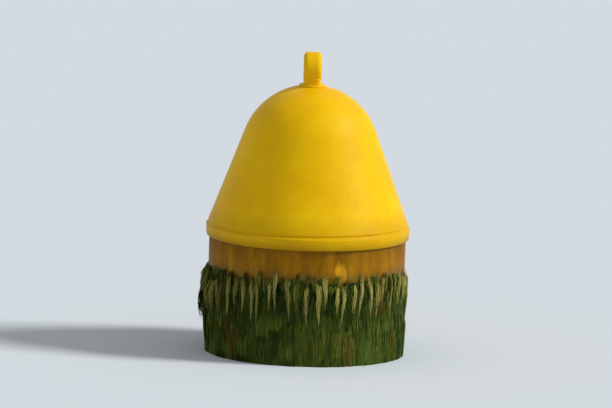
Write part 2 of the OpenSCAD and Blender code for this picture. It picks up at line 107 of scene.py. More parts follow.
def floor_paint(tree):
    """Pale matt paint, the same all over."""
    return add(tree, "BsdfDiffuse", {"Color": "#D9DFE3"})


sun_azimuth = math.radians(82)
sun_height = math.radians(38)
sun_width = math.radians(14)
sun_strength = 2.75
sun = bpy.data.objects.new("sun", bpy.data.lights.new("sun", "SUN"))
sun.data.energy = sun_strength
sun.data.angle = sun_width
sun_from = Vector((
    math.sin(sun_azimuth) * math.cos(sun_height),
    -math.cos(sun_azimuth) * math.cos(sun_height),
    math.sin(sun_height),
))
sun.rotation_euler = sun_from.to_track_quat("Z", "Y").to_euler()
bpy.context.scene.collection.objects.link(sun)

sky_light = 0.45
sky_seen = 0.80
world = bpy.data.worlds.new("sky")
world.use_nodes = True
sky_tree = world.node_tree
sky_tree.nodes.clear()
seen = 0.0
for kind in ("Camera", "Glossy", "Transmission"):
    ray = add(sky_tree, "LightPath", out=f"Is {kind} Ray")
    seen = add(sky_tree, "Math", {0: seen, 1: ray}, operation="MAXIMUM")
strength = add(sky_tree, "MapRange", {"Value": seen, "To Min": sky_light, "To Max": sky_seen})
sky = add(sky_tree, "Background", {"Color": "#F2F6FA", "Strength": strength})
add(sky_tree, "OutputWorld", {"Surface": sky})
bpy.context.scene.world = world

floor_half = 120.0
floor_mesh = bpy.data.meshes.new("floor")
floor_corners = [(x * floor_half, y * floor_half, 0) for x, y in ((-1, -1), (1, -1), (1, 1), (-1, 1))]
floor_mesh.from_pydata(floor_corners, [], [(0, 1, 2, 3)])
floor_mesh.materials.append(new_material(floor_paint))
floor_plane = bpy.data.objects.new("floor", floor_mesh)
bpy.context.scene.collection.objects.link(floor_plane)


# The bell: a hood of rotomoulded polyethylene, 5 mm thick, that sits over the float's top. Its rim is a round
# bead under a groove, where the mould parted, and its crown is flat where the lug is screwed down.
def unit(vectors):
    """The vectors, each divided by its own length."""
    return vectors / np.linalg.norm(vectors, axis=-1, keepdims=True)


def rounded_outline(corners, arc, edge):
    """A closed outline whose corners, each (x, y, radius), are rounded by arcs that touch both edges. arc is
    how many points each arc has and edge how many lie between it and the next: one number, or one for each
    corner. Where a corner's values are arrays, there are as many outlines at once."""
    corners = [np.stack(np.broadcast_arrays(*corner), -1) for corner in corners]
    corners = np.stack(np.broadcast_arrays(*corners), -2)
    spots, radii = corners[..., :2], corners[..., 2:]
    count = spots.shape[-2]
    on_arcs, on_edges = np.broadcast_to(arc, count), np.broadcast_to(edge, count)
    back = unit(np.roll(spots, 1, -2) - spots)
    ahead = unit(np.roll(spots, -1, -2) - spots)
    half = np.arccos(np.clip((back * ahead).sum(-1, keepdims=True), -1, 1)) / 2
    centres = spots + unit(back + ahead) * radii / np.sin(half)
    starts = spots + back * radii / np.tan(half)
    ends = spots + ahead * radii / np.tan(half)
    sweep = np.pi - 2 * half
    parts = []
    for i in range(count):
        this, following = np.s_[..., [i], :], np.s_[..., [(i + 1) % count], :]
        angle = sweep[this] * np.linspace(0, 1, on_arcs[i])[:, None]
        from_start = (starts[this] - centres[this]) * np.sin(sweep[this] - angle)
        from_end = (ends[this] - centres[this]) * np.sin(angle)
        parts.append(centres[this] + (from_start + from_end) / np.sin(sweep[this]))
        along = np.linspace(0, 1, on_edges[i] + 2)[1:-1, None]
        parts.append(ends[this] * (1 - along) + starts[following] * along)
    return np.concatenate(parts, -2)


def full_turn(count):
    """Angles that share a full turn equally, from nought."""
    return np.linspace(0, 2 * np.pi, count, endpoint=False)


def round_z(r, turn, z):
    """Points at a distance r from Z, at an angle turn round it and a height z."""
    return np.stack(np.broadcast_arrays(r * np.cos(turn), r * np.sin(turn), z), -1)


def turned(outline, around):
    """A surface of revolution: the outline, as radius and height, is carried round Z in a full turn."""
    return round_z(outline[..., 0], full_turn(around)[:, None], outline[..., 1])


def bumps(points, size, seed):
    """Smooth bumps of about that size all through space: the mean of sine waves in random directions, brought
    up to reach from about -1 to 1."""
    random = np.random.default_rng(seed)
    count, gain = 16, 2.2
    waves = random.normal(size=(count, 3))
    waves *= (2 * np.pi / size * random.uniform(0.5, 1.5, count) / np.linalg.norm(waves, axis=1))[:, None]
    return np.sin(points @ waves.T + random.uniform(0, 2 * np.pi, count)).mean(-1) * gain


def pushed_out(grid, by, centre=None):
    """The grid with each point moved out by its own length, straight from Z or from a centre."""
    outwards = grid * (1, 1, 0) if centre is None else grid - centre
    return grid + unit(outwards) * by[..., None]


def grid_faces(rows, columns, capped):
    """The quads of a grid whose columns close on themselves. Its rows do too, unless it is capped: then a
    flat face closes each end."""
    i = np.arange(rows - 1 if capped else rows)[:, None]
    j = np.arange(columns)[None]
    on, right = (i + 1) % rows, (j + 1) % columns
    corners = (i * columns + j, on * columns + j, on * columns + right, i * columns + right)
    quads = np.stack(corners, -1).reshape(-1, 4)
    if not capped:
        return [quads]
    first = np.arange(columns)[None]
    return [quads, first, first[:, ::-1] + (rows - 1) * columns]


def facing_out(points, faces):
    """The faces, all turned over if the volume that they close in comes out negative: the sum of the pyramids
    from the points' middle to each face's triangles."""
    points = points - points.mean(0)
    volume = 0.0
    for block in faces:
        a = points[block[:, 0]]
        for k in range(1, block.shape[1] - 1):
            volume += (a * np.cross(points[block[:, k]], points[block[:, k + 1]])).sum() / 6
    return [block[:, ::-1] for block in faces] if volume < 0 else faces


def shell(*grids, capped=False):
    """Joins closed grids to one array of points and its faces, which face outwards."""
    points, faces, start = [], [], 0
    for grid in grids:
        flat = grid.reshape(-1, 3)
        faces += [block + start for block in facing_out(flat, grid_faces(*grid.shape[:2], capped))]
        points.append(flat)
        start += len(flat)
    return np.concatenate(points), faces


materials = {}


def piece(name, body, slot, node, *shells, sharp=38, **values):
    """A mesh object made of shells, in its slot's material, that rides on its body and stands for its node.
    Edges of more than sharp degrees stay sharp. values are numbers for each point, kept as attributes."""
    mesh = bpy.data.meshes.new(name)
    offsets = np.cumsum([0] + [len(points) for points, _ in shells])
    points = np.concatenate([points for points, _ in shells])
    faces = [block + offset for (_, blocks), offset in zip(shells, offsets) for block in blocks]
    corners = np.concatenate([block.ravel() for block in faces]).astype(np.int32)
    sizes = np.concatenate([np.full(len(block), block.shape[1]) for block in faces])
    mesh.vertices.add(len(points))
    mesh.vertices.foreach_set("co", points.astype(np.float32).ravel())
    mesh.loops.add(len(corners))
    mesh.loops.foreach_set("vertex_index", corners)
    mesh.polygons.add(len(sizes))
    mesh.polygons.foreach_set("loop_start", (np.cumsum(sizes) - sizes).astype(np.int32))
    mesh.update(calc_edges=True)
    mesh.validate()
    mesh.shade_smooth()
    mesh.set_sharp_from_angle(angle=math.radians(sharp))
    for key, numbers in values.items():
        mesh.attributes.new(key, "FLOAT", "POINT").data.foreach_set("value", numbers.astype(np.float32))
    mesh.materials.append(materials[slot])
    made = bpy.data.objects.new(name, mesh)
    bpy.context.scene.collection.objects.link(made)
    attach(made, body)
    if node:
        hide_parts(node)


mm = 0.001
bell_low, bell_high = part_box("bell")
float_low, float_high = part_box("float")
rod_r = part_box("through_rod")[1][0]
rod_gap = 0.3 * mm
rod_hole_r = rod_r + rod_gap
float_r = float_high[0]
float_top = float_high[2]
skirt_gap = 0.8 * mm
skirt_r = float_r + skirt_gap
rim_r = float_r + 7 * mm
rim_bottom = bell_low[2]
seat_z = bell_high[2]
rim_top = rim_bottom + 24 * mm
rim_draft = 2 * mm
flank_r = rim_r - 2.5 * mm
flank_angle = math.radians(20.3)
flank_slope = math.tan(flank_angle)
dome_r = 137 * mm
seat_r = 27 * mm
seat_margin = math.radians(0.6)
wall = 5 * mm
crown_t = 12 * mm
ledge_t = 8 * mm
ledge_r = float_r - 26 * mm
groove_w = 5 * mm
groove_depth = 2 * mm
dome_z = seat_z - math.sqrt(dome_r ** 2 - seat_r ** 2)


def dome_corner(radius, end_r):
    """The corner that an arc of the dome cuts off, where the tangent along the flank meets the one near
    end_r: it lies at the arc's middle angle, at the radius over the cosine of half the arc's sweep."""
    half = (math.acos(end_r / radius) - seat_margin - flank_angle) / 2
    middle = flank_angle + half
    reach = radius / math.cos(half)
    return reach * math.cos(middle), dome_z + reach * math.sin(middle), radius


inner_r = dome_r - wall
ledge_top = float_top + ledge_t
flank_height = dome_z + inner_r * math.sin(flank_angle) - ledge_top
inner_foot_r = inner_r * math.cos(flank_angle) + flank_height * flank_slope
groove_r = flank_r - groove_w * flank_slope
groove_top = rim_top + groove_w
crown_z = seat_z - crown_t
bell_corners = [
    (skirt_r, rim_bottom, skirt_gap),
    (rim_r - rim_draft, rim_bottom, 3 * mm),
    (rim_r, rim_top, 3.6 * mm),
    (flank_r - groove_depth, rim_top, 0.6 * mm),
    (groove_r - groove_depth, groove_top, 0.8 * mm),
    (groove_r, groove_top, 0.8 * mm),
    dome_corner(dome_r, seat_r),
    (seat_r, seat_z, 1 * mm),
    (rod_hole_r, seat_z, 1 * mm),
    (rod_hole_r, crown_z, 1 * mm),
    (seat_r, crown_z, 1 * mm),
    (seat_r, dome_z + math.sqrt(inner_r ** 2 - seat_r ** 2), 1 * mm),
    dome_corner(inner_r, seat_r),
    (inner_foot_r, ledge_top, 3 * mm),
    (ledge_r, ledge_top, 2 * mm),
    (ledge_r, float_top, 1 * mm),
    (skirt_r, float_top, 1 * mm),
]
bell_arcs = [3, 5, 6, 3, 3, 4, 44, 3, 3, 3, 3, 3, 20, 4, 4, 3, 3]
bell_edges = [2, 5, 1, 1, 1, 40, 1, 3, 3, 3, 1, 1, 6, 3, 1, 3, 3]
bell_grid = turned(rounded_outline(bell_corners, bell_arcs, bell_edges), 256)

# The mould leaves the wall uneven by half a millimetre, in bumps about 160 mm across
off_seat = np.linalg.norm(bell_grid[..., :2], axis=-1) > seat_r + 3 * mm
bell_grid = pushed_out(bell_grid, bumps(bell_grid, 160 * mm, 3) * 0.5 * mm * off_seat)


# A noise's values lie mostly between these two
noise_span = {"From Min": 0.3, "From Max": 0.7}


def sunned_polyethylene(tree):
    """Yellow polyethylene out of a rough-blown mould, years in the sun: even in colour from afar, with faded
    patches and faint runs of dirt close to, and a soft sheen over fine orange peel."""
    place = add(tree, "TexCoord", out="Object")
    height = add(tree, "SeparateXYZ", {"Vector": place}, out="Z")
    # Fading comes in patches about 70 mm across
    patches = add(tree, "TexNoise", {"Vector": place, "Scale": 1 / 0.07, "Detail": 4.0, "Roughness": 0.6})
    faded = add(tree, "ValToRGB", {"Fac": patches}, stops=[
        (0.30, "#EAB200"), (0.52, "#F0BC00"), (0.72, "#F4C404"),
    ])
    # Rain draws dirt down in runs about 9 mm wide and twelve times as long
    long_way = add(tree, "Mapping", {"Vector": place, "Scale": (1.0, 1.0, 0.08)})
    runs = add(tree, "TexNoise", {"Vector": long_way, "Scale": 1 / 0.009, "Detail": 3.0, "Roughness": 0.55})
    run_dirt = add(tree, "MapRange", {"Value": runs, "From Min": 0.58, "From Max": 0.80, "To Max": 0.16})
    dirtied = add(tree, "Mix", {0: run_dirt, 6: faded, 7: "#B98300"}, out=2, data_type="RGBA")
    # Darker low down, in specks of 14 mm: painted shade over the groove, and grime with painted shade on the
    # bead
    # Painted shade: the groove's shadow, spread a little up the flank above it
    painted_groove_shade = add(tree, "MapRange", {
        "Value": height, "From Min": rim_top + 42 * mm, "From Max": rim_top + 12 * mm, "To Max": 0.25,
    })
    # On the bead, grime and painted shade together, most at its foot, which faces down
    bead_grime_and_shade = add(tree, "MapRange", {
        "Value": height, "From Min": rim_top - 8 * mm, "From Max": rim_bottom, "To Max": 0.50,
    })
    rim_grime_and_shade = add(tree, "Math", {0: painted_groove_shade, 1: bead_grime_and_shade}, operation="ADD")
    specks = add(tree, "TexNoise", {"Vector": place, "Scale": 1 / 0.014, "Detail": 5.0, "Roughness": 0.7})
    speckled = add(tree, "MapRange", {"Value": specks, "From Min": 0.25, "From Max": 0.65, "To Min": 0.75})
    speckled_grime_and_shade = add(tree, "Math", {0: rim_grime_and_shade, 1: speckled}, operation="MULTIPLY")
    colour = add(tree, "Mix", {0: speckled_grime_and_shade, 6: dirtied, 7: "#7E5200"}, out=2, data_type="RGBA")
    gloss = add(tree, "MapRange", {"Value": patches, **noise_span, "To Min": 0.42, "To Max": 0.54})
    # Orange peel is 2 mm across on the real thing, and is drawn at 6 mm so that it shows
    peel = add(tree, "TexNoise", {"Vector": place, "Scale": 1 / 0.006})
    relief = add(tree, "Bump", {"Height": peel, "Strength": 0.30, "Distance": 0.5 * mm})
    return add(tree, "BsdfPrincipled", {
        "Base Color": colour, "Roughness": gloss, "Normal": relief, "IOR": 1.51, "Specular IOR Level": 0.09,
    })


materials["bell_plastic"] = new_material(sunned_polyethylene)
piece("bell_hood", "buoy", "bell_plastic", "bell", shell(bell_grid))

# The lifting lug: one solid moulding of the same polyethylene, screwed down on the crown. It is a thick ring
# round the eye, on a flat neck that spreads with a fillet into a round foot.
lug_low, lug_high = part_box("lifting_lug")
ring_r = lug_high[1]
ring_half = 18 * mm
ring_edge = 9.5 * mm
eye_z = lug_high[2] - ring_r
eye_r = 12 * mm
eye_edge = 2.6 * mm
foot_r = lug_high[0]
foot_low = lug_low[2] + 0.05 * mm
foot_top = lug_low[2] + 4 * mm
foot_fillet_r = 8 * mm
neck_x = 16 * mm
neck_y = 23 * mm
neck_low = foot_top - 1 * mm
neck_high = eye_z - 16 * mm
neck_power = 4.5
neck_spread = 3 * mm
neck_spread_height = 4 * mm
fillet_power = 12


def turned_ring(inner_r, outer_r, low, high, edges, around, arc=4, edge=(9, 2, 9, 2)):
    """A ring turned about Z. Its section is a rectangle whose corners are rounded by the radii in edges, one
    for all or one each for the inner low, outer low, outer high and inner high corner."""
    corners = [(inner_r, low), (outer_r, low), (outer_r, high), (inner_r, high)]
    corners = [(*corner, radius) for corner, radius in zip(corners, np.broadcast_to(edges, 4))]
    return turned(rounded_outline(corners, arc, edge), around)


ring_edges = [eye_edge, ring_edge, ring_edge, eye_edge]
lug_ring = turned_ring(eye_r, ring_r, -ring_half, ring_half, ring_edges, 128, [6, 14, 14, 6], [4, 6, 4, 8])
lug_ring = lug_ring[..., [2, 0, 1]] + (0, 0, eye_z)

# The neck is a superellipse at each level. It widens a little into the ring, and its fillet makes it round
neck_z = np.linspace(neck_low, neck_high, 40)[:, None]
neck_turn = full_turn(96)
join_z = eye_z - math.sqrt(ring_r ** 2 - neck_y ** 2)
neck_wide = neck_y + neck_spread * np.exp(np.minimum(neck_z - join_z, 0) / neck_spread_height)
in_x = np.abs(np.cos(neck_turn) / neck_x) ** neck_power
in_y = np.abs(np.sin(neck_turn) / neck_wide) ** neck_power
neck_reach = (in_x + in_y) ** (-1 / neck_power)
up_fillet = np.clip((neck_z - foot_top) / foot_fillet_r, 0, 1)
fillet_reach = neck_x + foot_fillet_r * (1 - np.sqrt(1 - (1 - up_fillet) ** 2))
neck_reach = (neck_reach ** fillet_power + fillet_reach ** fillet_power) ** (1 / fillet_power)
lug_neck = round_z(neck_reach, neck_turn, neck_z)

foot_edges = [0.5 * mm, 0.6 * mm, 1.4 * mm, 0.5 * mm]
lug_foot = turned_ring(rod_hole_r, foot_r, foot_low, foot_top, foot_edges, 96, 4, [6, 2, 4, 1])
lug_shells = shell(lug_ring, lug_foot), shell(lug_neck, capped=True)
piece("lug_moulding", "buoy", "bell_plastic", "lifting_lug", *lug_shells)

# The float: a closed shell of the same polyethylene, filled with foam, with a tube up its middle for the rod.
# Years afloat have stained it rust brown over the weed, and slime covers it below the waterline.
bottom_r = 72 * mm
side_bottom = float_low[2] + 110 * mm
parting_z = 205 * mm
parting_half = 1.2 * mm
parting_out = 0.35 * mm
float_grid = turned(rounded_outline([
    (rod_hole_r, float_low[2], 1.5 * mm),
    (bottom_r, float_low[2], 12 * mm),
    (float_r, side_bottom, 40 * mm),
    (float_r, float_top, 6 * mm),
    (rod_hole_r, float_top, 1.5 * mm),
], 10, [8, 18, 60, 6, 12]), 256)

# Outside its tube the wall is uneven by a third of a millimetre, in bumps of 120 mm, and set in by as much
off_tube = np.linalg.norm(float_grid[..., :2], axis=-1) > 2 * rod_r
parting_line = np.exp(-((float_grid[..., 2] - parting_z) / parting_half) ** 2) * parting_out
unevenness = parting_line - 0.4 * mm + bumps(float_grid, 120 * mm, 5) * 0.35 * mm
float_grid = pushed_out(float_grid, unevenness * off_tube)

plug_turn = math.radians(135)
plug_centre = ((float_r + bottom_r) / 2, 0, (side_bottom + float_low[2]) / 2)
taper_slope = math.atan2(side_bottom - float_low[2], float_r - bottom_r)


def on_taper(points):
    """Turns points from their own +Z to point out of the taper, and carries them to the plug's place."""
    s, c = math.sin(taper_slope), math.cos(taper_slope)
    tilt = np.array([[-c, 0, s], [0, 1, 0], [-s, 0, -c]])
    s, c = math.sin(plug_turn), math.cos(plug_turn)
    turn = np.array([[c, -s, 0], [s, c, 0], [0, 0, 1]])
    return (points @ tilt.T + plug_centre) @ turn.T


plug_boss_r = 26 * mm
plug_boss_h = 4 * mm
plug_hole_r = 13.1 * mm
plug_boss_draft = 3 * mm
plug_boss_sunk = -5 * mm
plug_boss = on_taper(turned(rounded_outline([
    (plug_hole_r, plug_boss_sunk, 0.5 * mm),
    (plug_boss_r + plug_boss_draft, plug_boss_sunk, 0.5 * mm),
    (plug_boss_r, plug_boss_h, 2.5 * mm),
    (plug_hole_r, plug_boss_h, 0.5 * mm),
], 6, 6), 96))

washed_spot = (65 * mm, -182 * mm, 177 * mm)
washed_r = 56 * mm
washed_edge = 12 * mm
# Where the painted shade under the rim begins
rim_shade_from_z = 195 * mm
slime_top = 125 * mm
stain_foot = 160 * mm


def stained_polyethylene(tree):
    """The same polyethylene, stained rust brown over the weed's edge and under olive slime below it."""
    place = add(tree, "TexCoord", out="Object")
    height = add(tree, "SeparateXYZ", {"Vector": place}, out="Z")
    # The stain hangs in soft runs about 22 mm wide
    long_way = add(tree, "Mapping", {"Vector": place, "Scale": (1.0, 1.0, 0.22)})
    runs = add(tree, "TexNoise", {"Vector": long_way, "Scale": 1 / 0.022, "Detail": 4.0, "Roughness": 0.6})
    stain = add(tree, "ValToRGB", {"Fac": runs}, stops=[
        (0.30, "#7A5203"), (0.50, "#946403"), (0.70, "#AC7804"),
    ])
    # The stain has washed thin at one spot on the weed's edge, and up under the rim it is darker: painted
    # shade
    from_spot = add(tree, "VectorMath", {0: place, 1: washed_spot}, out="Value", operation="DISTANCE")
    ragged_spot = add(tree, "Math", {0: runs, 1: 0.10, 2: from_spot}, operation="MULTIPLY_ADD")
    washed = add(tree, "MapRange", {
        "Value": ragged_spot, "From Min": washed_r + washed_edge, "From Max": washed_r,
    })
    stain = add(tree, "Mix", {0: washed, 6: stain, 7: "#D89A10"}, out=2, data_type="RGBA")
    # Painted shade under the rim: a darker brown towards the rim's foot
    thick = add(tree, "MapRange", {
        "Value": height, "From Min": rim_shade_from_z, "From Max": rim_bottom, "To Max": 0.36,
    })
    stain = add(tree, "Mix", {0: thick, 6: stain, 7: "#5E3C02"}, out=2, data_type="RGBA")
    # Slime lies in patches about 24 mm across, drawn out downwards, with a grain of about 3 mm
    drawn_out = add(tree, "Mapping", {"Vector": place, "Scale": (1.0, 1.0, 0.45)})
    slime_patches = add(tree, "TexNoise", {
        "Vector": drawn_out, "Scale": 1 / 0.024, "Detail": 8.0, "Roughness": 0.7,
    })
    slime = add(tree, "ValToRGB", {"Fac": slime_patches}, stops=[
        (0.30, "#33300F"), (0.50, "#544D1E"), (0.70, "#70652F"),
    ])
    uneven = add(tree, "Math", {0: slime_patches, 1: 0.06}, operation="MULTIPLY")
    ragged_z = add(tree, "Math", {0: height, 1: uneven}, operation="SUBTRACT")
    above = add(tree, "MapRange", {"Value": ragged_z, "From Min": slime_top, "From Max": stain_foot})
    colour = add(tree, "Mix", {0: above, 6: slime, 7: stain}, out=2, data_type="RGBA")
    gloss = add(tree, "MapRange", {"Value": above, "To Min": 0.28, "To Max": 0.62})
    relief = add(tree, "Bump", {"Height": slime_patches, "Strength": 0.5, "Distance": 1 * mm})
    return add(tree, "BsdfPrincipled", {
        "Base Color": colour, "Roughness": gloss, "Normal": relief, "IOR": 1.51, "Specular IOR Level": 0.09,
    })


materials["float_plastic"] = new_material(stained_polyethylene)
piece("float_moulding", "buoy", "float_plastic", "float", shell(float_grid, plug_boss))

# The filler plug: black moulded polypropylene, screwed into the boss through which the foam was poured. A
# hexagon socket in its head takes the key.
plug_head_r = 20 * mm
plug_head_t = 5 * mm
plug_head_low = 0.05 * mm
plug_key_af = 14 * mm
plug_shank = 8 * mm
plug_shank_r = plug_hole_r - 0.2 * mm
pole_r = 2 * mm
sharp_edge = 0.05 * mm


def hexagon_reach(af, around, corner_cut):
    """How far a hexagon's side lies from its centre, in each direction: half the width across its flats over
    the cosine of the angle from the nearest flat's middle. corner_cut is taken off its corners."""
    side = af / 2 / np.cos(full_turn(around) % (np.pi / 3) - np.pi / 6)
    return np.minimum(side, af / math.sqrt(3) - corner_cut)


# Below and above, the section ends at a small flat face round the plug's own axis
key_reach = hexagon_reach(plug_key_af, 96, 0.2 * mm)
plug_outline = rounded_outline([
    (pole_r, -plug_shank, sharp_edge),
    (plug_shank_r, -plug_shank, 1 * mm),
    (plug_shank_r, plug_head_low, 0.2 * mm),
    (plug_head_r, plug_head_low, 1.2 * mm),
    (plug_head_r, plug_head_t, 1.6 * mm),
    (key_reach, plug_head_t, 0.8 * mm),
    (key_reach, -plug_shank / 2, 0.4 * mm),
    (pole_r, -plug_shank / 2, sharp_edge),
], 5, [4, 4, 4, 4, 4, 4, 4, 0])
plug_grid = on_taper(turned(plug_outline, 96) + (0, 0, plug_boss_h)).swapaxes(0, 1)


def moulded_polypropylene(tree):
    """Black polypropylene, injection moulded: even and fine, with a film of slime that dulls it."""
    place = add(tree, "TexCoord", out="Object")
    # The film comes in patches about 12 mm across
    film = add(tree, "TexNoise", {"Vector": place, "Scale": 1 / 0.012, "Detail": 5.0, "Roughness": 0.65})
    colour = add(tree, "ValToRGB", {"Fac": film}, stops=[(0.4, "#151614"), (0.65, "#33341F")])
    gloss = add(tree, "MapRange", {"Value": film, **noise_span, "To Min": 0.32, "To Max": 0.6})
    relief = add(tree, "Bump", {"Height": film, "Strength": 0.3, "Distance": 0.3 * mm})
    return add(tree, "BsdfPrincipled", {
        "Base Color": colour, "Roughness": gloss, "Normal": relief, "IOR": 1.49,
    })


materials["plug_plastic"] = new_material(moulded_polypropylene)
piece("plug_moulding", "buoy", "plug_plastic", "filler_plug", shell(plug_grid, capped=True))

# The rod: a 20 mm steel bar from the lug down through bell, float and ballast, hot-dip galvanised. Its lower
# end is threaded for the nuts, and left plain where the swivel turns on it.
rod_low, rod_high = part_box("through_rod")
boss_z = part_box("swivel_nut")[1][2] + rod_gap
boss_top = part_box("swivel_bow")[1][2]
thread_pitch = 2.5 * mm
thread_depth = 1.4 * mm
thread_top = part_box("ballast_washer")[1][2] + 4 * mm
thread_margin = 5 * mm


def threaded_bar(level, radius, pitch, depth, chamfer, around):
    """A bar along Z. Its radius falls by depth, given for each level, times a triangular wave of height /
    pitch less turn / full turn, so its ridge climbs one pitch a turn. Both ends are chamfered."""
    turn, level = full_turn(around), level[:, None]
    wave = np.abs((level / pitch - turn / (2 * np.pi)) % 1 * 2 - 1)
    from_end = np.minimum(level - level.min(), level.max() - level)
    r = np.minimum(radius - depth[:, None] * wave, radius - chamfer + from_end)
    return round_z(r, turn, level)


def fine_levels(*spans):
    """Levels through all the spans, each (low, high, step), at most its step apart."""
    levels = [np.linspace(low, high, math.ceil((high - low) / step) + 1) for low, high, step in spans]
    return np.unique(np.concatenate(levels))


rod_levels = fine_levels(
    (rod_low[2], boss_z, thread_pitch / 6), (boss_z, boss_top, 4 * mm),
    (boss_top, thread_top, thread_pitch / 6), (thread_top, rod_high[2], 40 * mm),
)
in_boss = (rod_levels > boss_z - thread_margin) & (rod_levels < boss_top + thread_margin)
rod_depth = ((rod_levels < thread_top) & ~in_boss) * thread_depth
rod_grid = threaded_bar(rod_levels, rod_r, thread_pitch, rod_depth, 1.5 * mm, 64)


def galvanised_steel(tree, rust_from):
    """Steel dipped in zinc, after years of salt: the zinc has gone dull and pale, its crystals only just
    show, and rust comes through in patches. rust_from is the noise value over which there is rust."""
    place = add(tree, "TexCoord", out="Object")
    # Zinc crystals are about 4 mm across, and the bloom that dulls them lies in clouds of 16 mm
    crystals = add(tree, "TexVoronoi", {"Vector": place, "Scale": 1 / 0.004}, out="Color")
    crystal = add(tree, "SeparateColor", {"Color": crystals}, out="Red")
    bloom = add(tree, "TexNoise", {"Vector": place, "Scale": 1 / 0.016, "Detail": 5.0, "Roughness": 0.6})
    dulled = add(tree, "Math", {0: crystal, 1: 0.12, 2: bloom}, operation="MULTIPLY_ADD")
    zinc = add(tree, "ValToRGB", {"Fac": dulled}, stops=[
        (0.36, "#6C706E"), (0.56, "#8B908E"), (0.76, "#A9ADA8"),
    ])
    # Rust patches are some 12 mm across, with specks of 2 mm round them
    patches = add(tree, "TexNoise", {"Vector": place, "Scale": 1 / 0.012, "Detail": 7.0, "Roughness": 0.68})
    rusty = add(tree, "MapRange", {"Value": patches, "From Min": rust_from, "From Max": rust_from + 0.07})
    specks = add(tree, "TexNoise", {"Vector": place, "Scale": 1 / 0.002, "Detail": 3.0, "Roughness": 0.6})
    rust = add(tree, "ValToRGB", {"Fac": specks}, stops=[
        (0.30, "#3A2014"), (0.50, "#653519"), (0.72, "#8F5A2A"),
    ])
    colour = add(tree, "Mix", {0: rusty, 6: zinc, 7: rust}, out=2, data_type="RGBA")
    metal = add(tree, "MapRange", {"Value": rusty, "To Min": 0.65, "To Max": 0.0})
    clean_gloss = add(tree, "MapRange", {"Value": bloom, **noise_span, "To Min": 0.4, "To Max": 0.6})
    gloss = add(tree, "MapRange", {"Value": rusty, "To Min": clean_gloss, "To Max": 0.92})
    scale = add(tree, "Math", {0: specks, 1: rusty}, operation="MULTIPLY")
    height = add(tree, "Math", {0: scale, 1: bloom}, operation="ADD")
    relief = add(tree, "Bump", {"Height": height, "Strength": 0.6, "Distance": 0.4 * mm})
    return add(tree, "BsdfPrincipled", {
        "Base Color": colour, "Metallic": metal, "Roughness": gloss, "Normal": relief,
    })


materials["galvanised_steel"] = new_material(galvanised_steel, rust_from=0.56)
piece("rod_bar", "buoy", "galvanised_steel", "through_rod", shell(rod_grid, capped=True), sharp=50)

# The plate under the float: a flame-cut steel disc, galvanised, that spreads the rod's clamping force over
# the moulding's flat bottom.
plate_low, plate_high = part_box("bottom_plate")
plate_grid = turned_ring(rod_hole_r, plate_high[0], plate_low[2], plate_high[2], 1 * mm, 120)
underside = plate_grid[..., 2] < plate_low[2] + 2 * mm
plate_grid[..., 2] += underside * bumps(plate_grid, 50 * mm, 9) * 0.2 * mm
piece("plate_disc", "buoy", "galvanised_steel", "bottom_plate", shell(plate_grid))

# The ballast: two discs of grey iron, cast in sand and left bare. Each is dished on both faces between its
# hub and its rim, and rust has covered them all over.
disc_low, disc_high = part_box("ballast_disc_upper")
disc_r = disc_high[0]
disc_t = disc_high[2] - disc_low[2]
hub_r = 32 * mm
dish_r = disc_r - 20 * mm
dish_depth = 4 * mm


def cast_disc(low, seed):
    """A disc's section, which mirrors its lower half, carried round Z and roughened by two sizes of bumps."""
    lower = [
        (rod_hole_r, 0, 1 * mm), (hub_r, 0, 1.5 * mm), (hub_r + dish_depth, dish_depth, 2 * mm),
        (dish_r - dish_depth, dish_depth, 2 * mm), (dish_r, 0, 1.5 * mm), (disc_r, 0, 5 * mm),
    ]
    corners = [(r, low + depth, radius) for r, depth, radius in lower]
    corners += [(r, low + disc_t - depth, radius) for r, depth, radius in reversed(lower)]
    grid = turned(rounded_outline(corners, 4, [5, 1, 12, 1, 4, 6, 4, 1, 12, 1, 5, 6]), 150)
    coarse, fine = bumps(grid, 14 * mm, seed), bumps(grid, 5 * mm, seed + 1)
    return pushed_out(grid, coarse * 0.22 * mm + fine * 0.10 * mm - 0.25 * mm, (0, 0, low + disc_t / 2))


def rusted_cast_iron(tree):
    """Sand-cast iron, bare for years in salt: a dark scale with orange bloom over it, matt and pitted."""
    place = add(tree, "TexCoord", out="Object")
    # Scabs of scale are about 18 mm across, and the sand's grain about 1.5 mm
    scabs = add(tree, "TexNoise", {"Vector": place, "Scale": 1 / 0.018, "Detail": 7.0, "Roughness": 0.66})
    grain = add(tree, "TexNoise", {"Vector": place, "Scale": 1 / 0.0015})
    mixed = add(tree, "Math", {0: grain, 1: 0.3, 2: scabs}, operation="MULTIPLY_ADD")
    colour = add(tree, "ValToRGB", {"Fac": mixed}, stops=[
        (0.46, "#34201A"), (0.60, "#522B16"), (0.72, "#73401D"), (0.86, "#99602D"),
    ])
    gloss = add(tree, "MapRange", {"Value": scabs, **noise_span, "To Min": 0.70, "To Max": 0.95})
    relief = add(tree, "Bump", {"Height": mixed, "Strength": 0.8, "Distance": 1.2 * mm})
    return add(tree, "BsdfPrincipled", {
        "Base Color": colour, "Roughness": gloss, "Normal": relief, "Specular IOR Level": 0.3,
    })


materials["ballast_iron"] = new_material(rusted_cast_iron)
for side, low, seed in (("upper", disc_low[2], 41), ("lower", disc_low[2] - disc_t, 51)):
    piece(f"{side}_casting", "buoy", "ballast_iron", f"ballast_disc_{side}", shell(cast_disc(low, seed)))

# What clamps the stack: a steel washer, a full nut and a thin lock nut. One more nut holds the swivel on. The
# nuts are forged hexagons of 30 mm across the flats, galvanised.
nut_af = 30 * mm
nut_gap = 0.1 * mm
face_inset = 0.3 * mm
nut_cone = math.radians(30)


